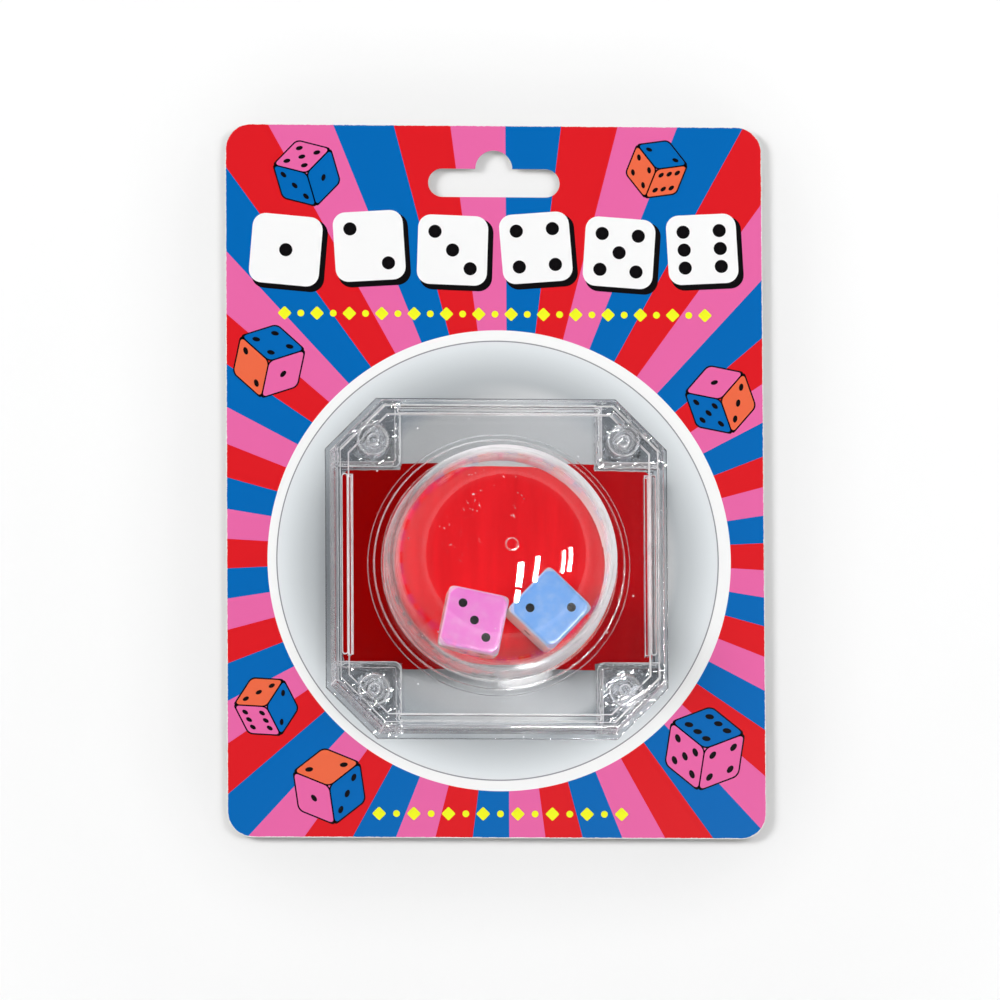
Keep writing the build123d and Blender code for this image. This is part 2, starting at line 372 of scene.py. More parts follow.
def printed_card():
    """Sunburst, white ring and grey disc on the front; bare board on the edges and the back."""
    made, t, shader = new_material("card print")
    place = t.place()
    grain = t.group(board_grain(), {"Vector": place, "Amount": 0.5})
    shade = t.mix(grain["Shade"], (0, 0, 0), (1, 1, 1))
    front = t.mix(1.0, card_front(t, place), shade, "MULTIPLY")
    front = t.mix(rubbed_border(t, place), front, ink(238, 237, 236))
    bare = t.group(board_grain(), {"Vector": place, "Amount": 2.0})
    board = t.mix(bare["Shade"], ink(150, 146, 140), ink(232, 230, 226))
    height = t.axes(place)["Z"]
    printed = t.step(height, CARD_TOP - 0.06 * MM, CARD_TOP - 0.03 * MM)
    roughness = t.minus(0.85, t.times(printed, 0.45))
    satin_finish(t, shader, t.mix(printed, board, front), roughness, grain)
    return made


def card_front(t, place):
    """The sunburst, and inside it the white ring, its thin line and the grey disc."""
    card = settings().card
    burst = t.axes(t.moved(place, (2.94 * MM, -18.55 * MM, 0)))
    flattened = t.times(burst["Y"], 1.096)
    turns = t.plus(t.math("DIVIDE", t.math("ARCTAN2", burst["X"], flattened), 2 * pi), 1.0)
    third = t.math("DIVIDE", t.math("MODULO", t.times(turns, card.rays), 3.0), 3.0)
    rays = t.ramp(third, [(0, card.blue), (1 / 3, card.red), (2 / 3, card.pink)], "CONSTANT")

    ring = t.moved(place, (0.87 * MM, -19.85 * MM, 0))
    reach = t.flat_reach(t.axes(ring))
    disc = t.flat_reach(t.axes(t.moved(ring, (-0.4 * MM, 0, 0))))
    edge, blur = card.disc_radius, 0.05 * MM
    inside = t.mix(t.step(disc, edge, edge + blur), disc_greys_and_painted_light(t, ring, disc), card.white)
    from_line = t.math("ABSOLUTE", t.minus(disc, edge))
    line = t.step(from_line, card.line_width * 0.35, card.line_width * 0.65)
    inside = t.mix(line, card.line, inside)
    return t.mix(t.step(reach, card.ring_radius, card.ring_radius + blur), inside, rays)


def disc_greys_and_painted_light(t, ring, disc):
    """The disc's printed greys, whose darker ring round the popper's foot is also painted shade,
    round a pale middle that painted glare whitens towards the right and the lower left.
    """
    edge = settings().card.disc_radius
    # Printed greys; the dark stop at 0.76 of the radius, round the popper's foot, is also painted
    # shade.
    greys = t.ramp(
        t.math("DIVIDE", disc, edge),
        [
            (0.0, ink(232, 230, 229)),
            (0.69, ink(206, 205, 204)),
            (0.76, ink(170, 175, 179)),
            (0.88, ink(200, 205, 208)),
            (0.97, ink(226, 231, 234)),
            (1.0, ink(232, 235, 238)),
        ],
    )
    side = t.axes(ring)
    # Painted glare: under the housing the disc is whitened towards the right, more so lower down,
    # and a little at the lower left.
    middle = t.step(disc, 0.83 * edge, 0.76 * edge)
    lower = t.plus(t.times(t.step(side["Y"], 5 * MM, -32 * MM), 0.5), 0.5)
    right = t.times(t.step(side["X"], -22 * MM, 20 * MM), middle)
    glare_low_left = t.times(t.step(side["Y"], -10 * MM, -32 * MM), middle)
    fading_and_glare = t.most(t.times(lower, right), t.times(glare_low_left, 0.4))
    return t.mix(fading_and_glare, greys, ink(250, 250, 250))


def rubbed_border(t, place):
    """1 where the ink is rubbed off, in a ragged line along the card's rounded edge."""
    corner = 6.35 * MM
    sides = t.axes(t.vector("ABSOLUTE", place))
    over = t.axes(t.past(place, corner))
    inner = t.least(t.minus(CARD_HIGH.x, sides["X"]), t.minus(CARD_HIGH.y, sides["Y"]))
    border = t.least(t.minus(corner, t.flat_reach(over)), inner)
    ragged = t.times(t.noise(place, 900, 4, 0.7), 0.42 * MM)
    return t.rest(t.step(border, t.minus(ragged, 0.06 * MM), ragged))


def satin_finish(t, shader, shade, roughness, grain):
    """Gives a printed face its colour, its thin varnish and the board's fine tooth."""
    t.feed_all(shader, {
        "Base Color": shade,
        "Roughness": roughness,
        "Normal": t.bump(grain["Height"], 0.006 * MM, 0.6),
        "Specular IOR Level": 0.0,
        "Coat Weight": 0.06,
        "Coat Roughness": 0.25,
    })


def printed_ink(name, shade):
    """One flat printed colour with the same board under it."""
    made, t, shader = new_material(name)
    grain = t.group(board_grain(), {"Vector": t.place(), "Amount": 0.6})
    lit = t.mix(grain["Shade"], (0, 0, 0), tuple(shade))
    roughness = t.minus(0.62, t.times(grain["Shade"], 0.22))
    satin_finish(t, shader, lit, roughness, grain)
    return made


def clear_plastic(
    name, tint, roughness, ior, passed, wave, wave_scale, pale_from, pale_most, mirror=0.13,
    painted_shade=0.0, pins=0.0, right_side_light=0.0, nicks=0.0, ring_highlight_dimming=0.0, painted_glare=0.0,
):
    """Clear moulded plastic that lets lamplight through.

    Its painted highlight, a pale diffuse white, starts at the slant pale_from and grows to
    pale_most, passed is the colour of the lamplight behind it, and the last six are the strengths
    of painted shade, wavy greyed pockets with cloudy pins, painted light on the right side, nicks,
    dimmer ring highlights and painted glare, which only some pieces have.
    """
    made, t, shader = new_material(name)
    place = t.place()
    near = t.vector("ABSOLUTE", t.moved(place, tuple(POPPER)))
    slant = t.add("ShaderNodeLayerWeight", {"Blend": 0.5}).outputs["Facing"]
    marks = t.group(
        moulding_marks(), {"Vector": place, "Wave scale": wave_scale, "Speck scale": 300.0}
    )
    specks = marks["Specks"]
    smear = t.step(t.noise(place, 70, 3, 0.6), 0.45, 0.7)
    finish = t.plus(t.times(smear, roughness * 0.8), roughness)
    worn_tint = t.mix(t.times(specks, 0.25), tuple(tint), (0.6, 0.6, 0.6))
    # Painted shade: walls seen edge-on are greyed.
    painted_shade_grey = t.times(t.step(slant, 0.5, 0.95), painted_shade)
    bumps = t.plus(marks["Height"], t.times(specks, 0.5))
    if pins:
        # The four corner pockets are wavy all over, and greyed with painted shade.
        sides = t.axes(near)
        pocket = t.step(t.least(sides["X"], sides["Y"]), 23 * MM, 26 * MM)
        crumple = t.times(t.noise(place, 330, 2, 0.5, 1.2), pocket)
        bumps = t.plus(bumps, t.times(crumple, 9.0))
        painted_shade_grey = t.most(painted_shade_grey, t.times(pocket, 0.42))
    if painted_shade:
        # Painted shade: the housing's left side is greyed.
        shaded_side_x = t.axes(t.moved(place, tuple(POPPER)))["X"]
        painted_shade_grey = t.most(painted_shade_grey, t.times(t.step(shaded_side_x, -37 * MM, -40.5 * MM), 0.4))
    t.feed_all(shader, {
        "Base Color": t.mix(painted_shade_grey, worn_tint, ink(128, 129, 135)),
        "Roughness": t.plus(finish, t.times(specks, 0.4)),
        "Normal": t.bump(bumps, wave * MM),
        "Transmission Weight": 1.0,
        "IOR": ior,
        "Specular IOR Level": mirror,
    })

    # Painted highlight: where the wall is seen along its length a pale diffuse white is mixed in,
    # for the light it gathers.
    streaky = t.plus(t.noise(t.moved(place, scale=(1, 1, 0.35)), 60, 4, 0.65, 1.5), 0.3)
    milkiness_and_highlight = t.times(t.step(slant, pale_from, pale_from + 0.42), t.times(streaky, pale_most))
    if right_side_light:
        # Painted light: the pale highlight is stronger on the right side and weaker on the left.
        milkiness_and_highlight = t.times(milkiness_and_highlight, t.plus(t.times(lit_right_side(t, place), right_side_light), 0.36), clamp=True)
    if pins:
        milkiness_and_highlight = t.most(milkiness_and_highlight, t.times(cloudy_pins(t, place, near), pins))
    if nicks:
        milkiness_and_highlight = t.most(milkiness_and_highlight, t.times(dice_nicks(t, place), nicks))
    if ring_highlight_dimming:
        # The painted highlight is fainter on the rings round the dome and the pins than on the
        # housing's own edges.
        ring = t.step(t.flat_reach(t.axes(near)), 33 * MM, 35 * MM)
        milkiness_and_highlight = t.times(milkiness_and_highlight, t.plus(t.times(ring, ring_highlight_dimming), 1 - ring_highlight_dimming))
        ring = t.step(from_pin(t, near), 4.2 * MM, 4.8 * MM)
        milkiness_and_highlight = t.times(milkiness_and_highlight, t.plus(t.times(ring, 0.6), 0.4))
    # Painted glare low at the front of the wall and the collar.
    if painted_glare:
        milkiness_and_highlight = t.most(milkiness_and_highlight, t.times(painted_glare_spot(t, place, streaky), painted_glare))
    pale = t.add("ShaderNodeBsdfDiffuse", {"Color": (0.94, 0.94, 0.95)})
    wall = t.add("ShaderNodeMixShader", {0: milkiness_and_highlight, 1: shader.outputs[0], 2: pale.outputs[0]})

    # Lamplight and bounced light go straight through.
    through = t.add("ShaderNodeBsdfTransparent", {"Color": passed})
    path = t.add("ShaderNodeLightPath").outputs
    rays = t.most(path["Is Shadow Ray"], path["Is Diffuse Ray"])
    both = t.add("ShaderNodeMixShader", {0: rays, 1: wall.outputs[0], 2: through.outputs[0]})
    end = next(n for n in t.tree.nodes if n.type == "OUTPUT_MATERIAL")
    t.feed(end.inputs["Surface"], both.outputs[0])
    return made


def from_pin(t, near):
    """How far a point lies from the nearest corner pin's middle line."""
    return t.flat_reach(t.axes(t.moved(near, (PIN, PIN, 0))))


def lit_right_side(t, place):
    """The dome's right side, where painted light makes its pale highlight stronger."""
    across = t.axes(t.moved(place, tuple(POPPER), radians(20)))["X"]
    return t.step(across, -14 * MM, 12 * MM)


def cloudy_pins(t, place, near):
    """Pale swirls in the thick bosses and their pins, which cooled slowly; they also stand in as
    painted highlight.
    """
    pitch = 1.25 * MM
    reach = from_pin(t, near)
    clouds = t.plus(t.noise(place, 900, 3, 0.7, 2.0), 0.25, clamp=True)
    swirl = t.plus(reach, t.times(clouds, 0.5 * MM))
    rings = t.plus(t.times(t.math("SINE", t.times(swirl, 2 * pi / pitch)), 0.8), 0.8)
    return t.times(t.rest(t.step(reach, 3.7 * MM, 4.0 * MM)), t.times(clouds, rings))


def dice_nicks(t, place):
    """Small nicks from the dice, most of them on one side of the crown."""
    crown_side = (POPPER.x - 5 * MM, POPPER.y + 9 * MM, 40 * MM)
    reach = t.vector("LENGTH", t.moved(place, crown_side))
    nicks = t.step(t.noise(t.moved(place, turn=0.6, scale=(1, 2.2, 1)), 1100, 3, 0.6), 0.66, 0.7)
    nicks = t.times(nicks, t.step(t.noise(place, 160, 1), 0.52, 0.62))
    return t.times(nicks, t.rest(t.step(reach, 9 * MM, 18 * MM)))


def painted_glare_spot(t, place, streaky):
    """A painted glare low in the wall and the collar, at the front a little to the right."""
    middle = (POPPER.x + 6 * MM, POPPER.y - 28.2 * MM, 10 * MM)
    size = (8 * MM, 2.6 * MM, 6 * MM)
    reach = t.vector("LENGTH", t.moved(place, middle, radians(13), size))
    return t.rest(t.step(t.plus(reach, t.times(streaky, 0.5)), 0.75, 1.4))


def red_lacquer():
    """Gloss red lacquer on spring tin with drawn streaks, darker towards the two ends as painted
    shade outside the dome's circle, less so at the right end.
    """
    sheet = settings().sheet
    made, t, shader = new_material("red lacquer")
    place = t.place()
    spot = t.axes(t.moved(place, tuple(POPPER)))
    marks = t.group(moulding_marks(), {"Vector": place, "Wave scale": 60.0, "Speck scale": 200.0})
    streaks = t.noise(t.moved(place, scale=(0.12, 1, 1)), 42, 4, 0.6)
    wander = t.times(t.minus(streaks, 0.5), 2 * MM)
    # Painted shade: darker outside the dome's circle, and lighter towards the right end.
    outside = t.step(t.plus(t.flat_reach(spot), wander), 26.5 * MM, 29 * MM)
    lit_right_end = t.times(t.step(spot["X"], -10 * MM, 26 * MM), 0.42)
    base = t.mix(t.times(outside, t.rest(lit_right_end)), sheet.lacquer, sheet.shaded)
    cloudy = t.times(t.minus(streaks, 0.5), 0.5)
    rough = t.plus(t.times(streaks, 0.12), sheet.roughness - 0.06)
    dents = t.plus(t.times(t.noise(place, 700, 2), 0.15), marks["Height"])
    t.feed_all(shader, {
        "Base Color": t.mix(t.plus(cloudy, 0.1, clamp=True), base, ink(140, 6, 10)),
        "Roughness": t.plus(rough, t.times(marks["Specks"], 0.3)),
        "Normal": t.bump(dents, 0.05 * MM),
        "Specular IOR Level": 0.0,
        "Coat Weight": 0.06,
        "Coat Roughness": 0.12,
    })
    return made


def bare_tin():
    """Rolled tin plate, bare on the sheet's underside."""
    made, t, shader = new_material("bare tin")
    place = t.place()
    rolled = t.noise(t.moved(place, scale=(8, 1, 1)), 900, 3, 0.6)
    stains = t.step(t.noise(place, 80, 3, 0.6), 0.4, 0.75)
    t.feed_all(shader, {
        "Base Color": t.mix(stains, ink(196, 197, 199), ink(164, 161, 158)),
        "Roughness": t.plus(t.times(rolled, 0.25), 0.4),
        "Normal": t.bump(rolled, 0.004 * MM, 0.6),
        "Metallic": 0.2,
    })
    return made


def die_plastic(name, middle, turn, face):
    """White gloss plastic whose top and bottom are printed, over their rounded edges too."""
    body = settings().dice.body
    made, t, shader = new_material(name)
    place = t.moved(t.place(), tuple(middle), turn)
    level = t.axes(t.vector("ABSOLUTE", place))["Z"]
    ragged = t.times(t.noise(place, 1500, 3), 0.12 * MM)
    printed = t.step(t.plus(level, ragged), 6.15 * MM, 6.3 * MM)
    grain = t.noise(place, 420, 3, 0.6)
    fading_and_glare = t.mix(t.times(t.step(grain, 0.35, 0.8), 0.12), face, body)
    # The print is thin and rubbed where the face turns over its edges and corners.
    rubbed = t.rest(t.step(t.plus(level, t.times(grain, 0.2 * MM)), 7.2 * MM, 7.55 * MM))
    fading_and_glare = t.mix(t.times(rubbed, 0.42), fading_and_glare, body)
    white = t.mix(t.times(grain, 0.1), body, ink(200, 196, 188))
    t.feed_all(shader, {
        "Base Color": t.mix(printed, white, fading_and_glare),
        "Roughness": t.plus(t.times(grain, 0.16), 0.14),
        "Normal": t.bump(t.noise(place, 260, 2), 0.03 * MM),
        "Subsurface Weight": 0.12,
        "Subsurface Scale": 0.6 * MM,
        "Subsurface Radius": (1.0, 0.9, 0.85),
        "Coat Weight": 0.3,
        "Coat Roughness": 0.06,
    })
    return made


def pip_plastic():
    """Matt black paint in the dice's pips."""
    made, t, shader = new_material("black pips")
    specks = t.noise(t.place(), 2600, 2)
    t.feed_all(shader, {
        "Base Color": t.mix(t.step(specks, 0.6, 0.8), settings().dice.pip, ink(46, 44, 46)),
        "Roughness": t.plus(t.times(specks, 0.2), 0.25),
        "Normal": t.bump(specks, 0.01 * MM, 0.5),
        "Specular IOR Level": 0.08,
    })
    return made


# -------------------------------- shapes
def link_mesh(shape, name, materials):
    """An object in the scene made of a finished bmesh."""
    mesh = bpy.data.meshes.new(name)
    shape.to_mesh(mesh)
    shape.free()
    for made in materials:
        mesh.materials.append(made)
    return link(bpy.data.objects.new(name, mesh))


def link(thing):
    bpy.context.scene.collection.objects.link(thing)
    return thing


def show(shape, name, body, materials, replaced=()):
    """Links a finished bmesh as a piece that rides on a body, in place of any replaced nodes."""
    piece = link_mesh(shape, name, materials)
    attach(piece, body)
    if replaced:
        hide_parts(*replaced)
    return piece


def turn_to(thing, right, up, back):
    """Turns a lamp or a camera by its own three axes; it looks the other way from back."""
    thing.rotation_mode = "QUATERNION"
    thing.rotation_quaternion = Matrix((right, up, back)).transposed().to_quaternion()


def repaint(node, made):
    """Gives a CAD node its finish."""
    mesh = frame["nodes"][node].data
    mesh.materials.clear()
    mesh.materials.append(made)


def colour_faces(faces, index, smooth=False):
    for face in faces:
        face.material_index = index
        face.smooth = smooth


def add_rounded(shape, size, corner, segments):
    """A flat rectangle with rounded corners about the origin; returns its points."""
    made = bmesh.ops.create_grid(shape, x_segments=1, y_segments=1, size=0.5)["verts"]
    bmesh.ops.scale(shape, vec=(*size, 1), verts=made)
    rounded = bmesh.ops.bevel(
        shape, geom=made, offset=corner, offset_type="OFFSET", segments=segments, profile=0.5,
        affect="VERTICES", material=-1,
    )
    return rounded["verts"]


def cut(shape, point, normal):
    """Adds an edge across the whole shape where a plane crosses it."""
    everything = shape.verts[:] + shape.edges[:] + shape.faces[:]
    bmesh.ops.bisect_plane(shape, geom=everything, plane_co=point, plane_no=normal)


def add_plate(shape, size, corner, heights, spread, index, segments=5):
    """A flat rounded plate between two heights, its outline carried by the matrix spread."""
    made = add_rounded(shape, size, corner, segments)
    thicken(shape, made[0].link_faces[0], heights, spread, index)


def add_disc(shape, radius, heights, spread, index, segments):
    """A flat round plate between two heights, carried by the matrix spread."""
    made = bmesh.ops.create_circle(shape, cap_ends=True, radius=radius, segments=segments)["verts"]
    thicken(shape, made[0].link_faces[0], heights, spread, index)


def thicken(shape, face, heights, spread, index):
    """Closes a flat face into a thin solid between two heights."""
    bottom = list(face.verts)
    grown = bmesh.ops.extrude_face_region(shape, geom=[face], use_keep_orig=True)["geom"]
    top = [v for v in grown if isinstance(v, bmesh.types.BMVert)]
    bmesh.ops.transform(shape, matrix=spread, verts=bottom + top)
    for points, height in zip((bottom, top), heights):
        for v in points:
            v.co.z = height
    faces = list({f for v in bottom + top for f in v.link_faces})
    colour_faces(faces, index)
    bmesh.ops.recalc_face_normals(shape, faces=faces)


def slanted(middle, across, along):
    """The matrix that carries the unit square onto a slanted face about its middle."""
    flat = ((across[0], along[0], 0, middle[0]), (across[1], along[1], 0, middle[1]))
    return Matrix((*flat, (0, 0, 1, 0), (0, 0, 0, 1)))


PIPS = {
    1: [(0, 0)],
    2: [(-1, 1), (1, -1)],
    3: [(-1, 1), (0, 0), (1, -1)],
    4: [(-1, 1), (1, 1), (-1, -1), (1, -1)],
    5: [(-1, 1), (1, 1), (0, 0), (-1, -1), (1, -1)],
    6: [(-1, 1), (1, 1), (-1, 0), (1, 0), (-1, -1), (1, -1)],
}


# Turns that carry the top of a cube to each of its sides.
SIDES = (
    Matrix.Identity(4),
    Matrix.Rotation(pi, 4, "X"),
    Matrix.Rotation(pi / 2, 4, "X"),
    Matrix.Rotation(-pi / 2, 4, "X"),
    Matrix.Rotation(pi / 2, 4, "Y"),
    Matrix.Rotation(-pi / 2, 4, "Y"),
)


def at_foot(point, half_width, height):
    """Whether a point lies low on an upright wall half a width from the popper's middle."""
    across = max(abs(point.x - POPPER.x), abs(point.y - POPPER.y))
    return point.z < height and abs(across - half_width) < 0.05 * MM


def moulded_copy(node, name, body, made, edges, foot=(0, 0)):
    """A smoothly shaded copy of a CAD node whose moulded edges are rounded, catch the light and
    take the second finish, a painted highlight or painted shade.

    Along the foot of a wall, given as its half width and height, the edges lie too near each
    other to be rounded in full.
    """
    sharp, broad_area, foot_weight = radians(28), 20 * MM * MM, 0.2
    shape = bmesh.new()
    shape.from_mesh(frame["nodes"][node].data)
    bmesh.ops.remove_doubles(shape, verts=shape.verts, dist=2e-6)
    bmesh.ops.dissolve_limit(shape, angle_limit=radians(0.4), verts=shape.verts, edges=shape.edges)
    rounded = shape.edges.layers.float.new("bevel_weight_edge")
    # A broad flat wall keeps its own plain shading, or it would bend what is seen through it.
    broad = {f for f in shape.faces if f.calc_area() > broad_area}
    for edge in shape.edges:
        closed = len(edge.link_faces) == 2
        turned = closed and edge.calc_face_angle() >= sharp
        edge.smooth = closed and not turned and not broad.intersection(edge.link_faces)
        if turned:
            edge[rounded] = foot_weight if all(at_foot(v.co, *foot) for v in edge.verts) else 1.0
    colour_faces(shape.faces, 0, smooth=True)
    piece = show(shape, name, body, [made, edges], [node])
    # The shadows of the many clear walls would add up to more than the plastic takes.
    piece.visible_shadow = False
    width = settings().plastic.edge
    if width:
        rounding = piece.modifiers.new("edge rounding", "BEVEL")
        rounding.width = width
        rounding.segments = 2
        rounding.limit_method = "WEIGHT"
        rounding.use_clamp_overlap = False
        rounding.harden_normals = True
        rounding.material = 1


# -------------------------------- operators
class Piece:
    """Runs an operator's build and reports that it is done."""

    def execute(self, context):
        self.build()
        return {"FINISHED"}


class DICE_GAME_OT_card(Piece, bpy.types.Operator):
    """Print the sunburst, ring and disc on the backing card"""

    bl_idname = "dice_game.card"
    bl_label = "Card Print"

    def build(self):
        repaint("backing_card", printed_card())


class DICE_GAME_OT_title(Piece, bpy.types.Operator):
    """Add the row of six white tiles with black drop shadows"""

    bl_idname = "dice_game.title"
    bl_label = "Title Tiles"

    def build(self):
        card = settings().card
        size, pitch = card.tile_size, card.tile_size + card.tile_gap
        grown = size + 0.7 * MM
        row_y = 57.8 * MM
        leans = (-5.0, 3.5, -2.0, 4.5, -4.0, 3.0)
        lifts = (-0.4, 0.7, -0.2, 0.5, -0.6, 0.4)
        drop = Matrix.Translation((0.95 * MM, -1.05 * MM, 0))
        shape = bmesh.new()
        for count, (lean, lift) in enumerate(zip(leans, lifts), start=1):
            middle = Matrix.Translation(((count - 3.5) * pitch, row_y + lift * MM, 0))
            turn = Matrix.Rotation(radians(lean), 4, "Z")
            tile, shadow = middle @ turn, drop @ middle @ turn
            add_plate(shape, (grown, grown), 3.4 * MM, OUTLINES, shadow, 0, 8)
            add_plate(shape, (size, size), 3.2 * MM, FACES, tile, 1, 8)
            for px, py in PIPS[count]:
                pip = tile @ Matrix.Translation((px * 4.5 * MM, py * 4.5 * MM, 0))
                add_disc(shape, 1.65 * MM, DOTS, pip, 0, 32)
        inks = [printed_ink("black ink", card.black), printed_ink("white ink", card.white)]
        show(shape, "title_tiles", "base", inks)


class DICE_GAME_OT_beads(Piece, bpy.types.Operator):
    """Add the two rows of yellow beads above and below the ring"""

    bl_idname = "dice_game.beads"
    bl_label = "Yellow Beads"

    def build(self):
        # middle x, y, half length (mm) and count of each row
        rows = ((0.1, 41.6, 52.2, 27), (0.8, -82.9, 30.0, 15))
        shape = bmesh.new()
        for middle, y, reach, count in rows:
            for number in range(count):
                x = middle + reach * (2 * number / (count - 1) - 1)
                at = Matrix.Translation((x * MM, y * MM, 0))
                if number % 2:
                    add_disc(shape, 0.85 * MM, FACES, at, 0, 20)
                else:
                    diamond = at @ Matrix.Rotation(radians(45), 4, "Z")
                    add_plate(shape, (2.5 * MM, 2.5 * MM), 0.35 * MM, FACES, diamond, 0, 3)
        yellow = printed_ink("yellow ink", settings().card.yellow)
        show(shape, "yellow_beads", "base", [yellow])


class DICE_GAME_OT_printed_dice(Piece, bpy.types.Operator):
    """Add the printed dice that tumble round the card's border"""

    bl_idname = "dice_game.printed_dice"
    bl_label = "Printed Dice"

    def build(self):
        card = settings().card
        # middle x and y, radius (mm), turn (degrees), inks and counts of the three faces
        tumbling = (
            (-46.5, 76.6, 8.6, 16, (3, 2, 2), (5, 3, 1)),
            (40.5, 78.2, 7.8, -22, (2, 1, 1), (2, 4, 6)),
            (-56.0, 29.5, 9.4, -12, (2, 1, 3), (4, 2, 1)),
            (56.0, 20.6, 9.0, 19, (3, 2, 1), (1, 5, 3)),
            (-57.0, -56.5, 8.0, 27, (1, 3, 2), (3, 6, 2)),
            (51.5, -66.5, 10.6, -9, (2, 3, 3), (6, 5, 4)),
            (-41.5, -76.2, 9.6, 8, (1, 3, 2), (2, 1, 3)),
        )
        line_width = 0.42  # mm, half of it outside each face
        shape = bmesh.new()
        for x, y, radius, lean, paints, counts in tumbling:
            at = Matrix.Translation((x * MM, y * MM, 0)) @ Matrix.Rotation(radians(lean), 4, "Z")
            angles = (radians(30 + 60 * k) for k in range(6))
            corners = [Vector((cos(a), sin(a))) * radius * MM for a in angles]
            outer, inner = 1 + line_width / radius, 1 - line_width / radius
            for first, paint, count in zip((0, 2, 4), paints, counts):
                along, across = corners[(first + 2) % 6], corners[first]
                face = at @ slanted((along + across) / 2, across, along)
                add_plate(shape, (outer, outer), 0.13, OUTLINES, face, 0)
                add_plate(shape, (inner, inner), 0.12, FACES, face, paint)
                for px, py in PIPS[count]:
                    pip = face @ Matrix.Translation((px * 0.26, py * 0.26, 0))
                    add_disc(shape, 0.085, DOTS, pip, 0, 16)
        inks = [bpy.data.materials["black ink"]]
        for name, shade in (("orange", card.orange), ("blue", card.blue), ("pink", card.pink)):
            inks.append(printed_ink(f"{name} ink", shade))
        show(shape, "printed_dice", "base", inks)


class DICE_GAME_OT_popper(Piece, bpy.types.Operator):
    """Finish the clear tray, cover, dome and glue dots"""

    bl_idname = "dice_game.popper"
    bl_label = "Clear Popper"

    def build(self):
        plastic = settings().plastic
        cover = clear_plastic(
            "clear cover", plastic.cover_tint, roughness=plastic.roughness, ior=1.52,
            passed=(0.983, 0.985, 0.987), wave=0.05, wave_scale=110.0, pale_from=0.6,
            pale_most=0.34, painted_shade=0.85, pins=0.12, painted_glare=0.6,
        )
        tray = clear_plastic(
            "clear tray", plastic.cover_tint, roughness=plastic.roughness * 2, ior=1.49,
            passed=(0.98, 0.98, 0.98), wave=0.05, wave_scale=90.0, pale_from=0.65,
            pale_most=0.25, painted_shade=0.85, pins=0.15,
        )
        dome = clear_plastic(
            "clear dome", plastic.dome_tint, roughness=plastic.roughness * 0.4, ior=1.49,
            passed=(0.985, 0.985, 0.985), wave=0.04, wave_scale=60.0, pale_from=0.5,
            pale_most=0.95, mirror=0.04, right_side_light=1.4, nicks=0.55, painted_glare=1.0,
        )
        gel = clear_plastic(
            "glue gel", plastic.cover_tint, roughness=0.25, ior=1.42, passed=(0.95, 0.95, 0.94),
            wave=0.2, wave_scale=500.0, pale_from=0.6, pale_most=0.1,
        )
        # Painted highlight: the rounded edges of the cover and the dome are pale all over.
        lit = clear_plastic(
            "lit edges", plastic.cover_tint, roughness=0.12, ior=1.5, passed=(0.98, 0.98, 0.98),
            wave=0.02, wave_scale=200.0, pale_from=-0.42, pale_most=0.7, ring_highlight_dimming=0.62,
        )
        # Painted shade: the tray's rounded edges are tinted dark grey.
        dim = clear_plastic(
            "shaded edges", ink(104, 105, 111), roughness=0.12, ior=1.5, passed=(0.9, 0.9, 0.9),
            wave=0.02, wave_scale=200.0, pale_from=0.3, pale_most=0.2,
        )
        cover_foot = (39.85 * MM, 3.2 * MM)
        tray_foot = (38.5 * MM, 3.65 * MM)
        moulded_copy("top_cover", "popper_cover", "base", cover, lit, cover_foot)
        moulded_copy("base_tray", "popper_tray", "base", tray, dim, tray_foot)
        moulded_copy("dome", "popper_dome", "dome", dome, lit)
        for number in range(1, 5):
            repaint(f"glue_dot_{number}", gel)


class DICE_GAME_OT_sheet(Piece, bpy.types.Operator):
    """Add the bowed red tin sheet"""

    bl_idname = "dice_game.sheet"
    bl_label = "Spring Sheet"

    def build(self):
        low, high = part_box("spring_sheet")
        middle = (low + high) / 2
        half = (high - low) / 2
        thickness = 0.3 * MM
        bow = high.z - low.z - thickness
        shoulder_x, shoulder = 24.0 * MM, 1.6 * MM
        step_length = 0.02 * MM
        columns, rows = 32, 12
        shape = bmesh.new()
        add_rounded(shape, (2 * half.x, 2 * (half.y - shoulder)), 2.0 * MM, 8)
        stations = [half.x * (k / columns * 2 - 1) for k in range(1, columns)]
        stations += [s * (shoulder_x + d * step_length) for s in (-1, 1) for d in (0, 1)]
        for x in stations:
            cut(shape, (x, 0, 0), (1, 0, 0))
        wide = [v for v in shape.verts if abs(v.co.x) < shoulder_x + step_length / 4]
        bmesh.ops.scale(shape, vec=(1, half.y / (half.y - shoulder), 1), verts=wide)
        for k in range(1, rows):
            y = (k / rows * 2 - 1) * (half.y - 2.2 * shoulder)
            cut(shape, (0, y, 0), (0, 1, 0))
        # The bow is an arc of a circle through the two ends and the raised middle.
        arc = (half.x**2 + bow**2) / (2 * bow)
        for v in shape.verts:
            v.co.z = sqrt(arc**2 - v.co.x**2) - (arc - bow)
        bmesh.ops.recalc_face_normals(shape, faces=shape.faces[:])
        if shape.faces[:][0].normal.z < 0:
            bmesh.ops.reverse_faces(shape, faces=shape.faces[:])
        bmesh.ops.solidify(shape, geom=shape.faces[:], thickness=thickness)
        lowest = min(v.co.z for v in shape.verts)
        bmesh.ops.translate(shape, vec=(middle.x, middle.y, low.z - lowest), verts=shape.verts[:])
        colour_faces(shape.faces, 0, smooth=True)
        colour_faces([f for f in shape.faces if f.normal.z < -0.5], 1, smooth=True)
        for edge in shape.edges:
            edge.smooth = len(edge.link_faces) == 2 and edge.calc_face_angle() < radians(40)
        finishes = [red_lacquer(), bare_tin()]
        piece = show(shape, "red_sheet", "base", finishes, ["spring_sheet"])
        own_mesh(piece)


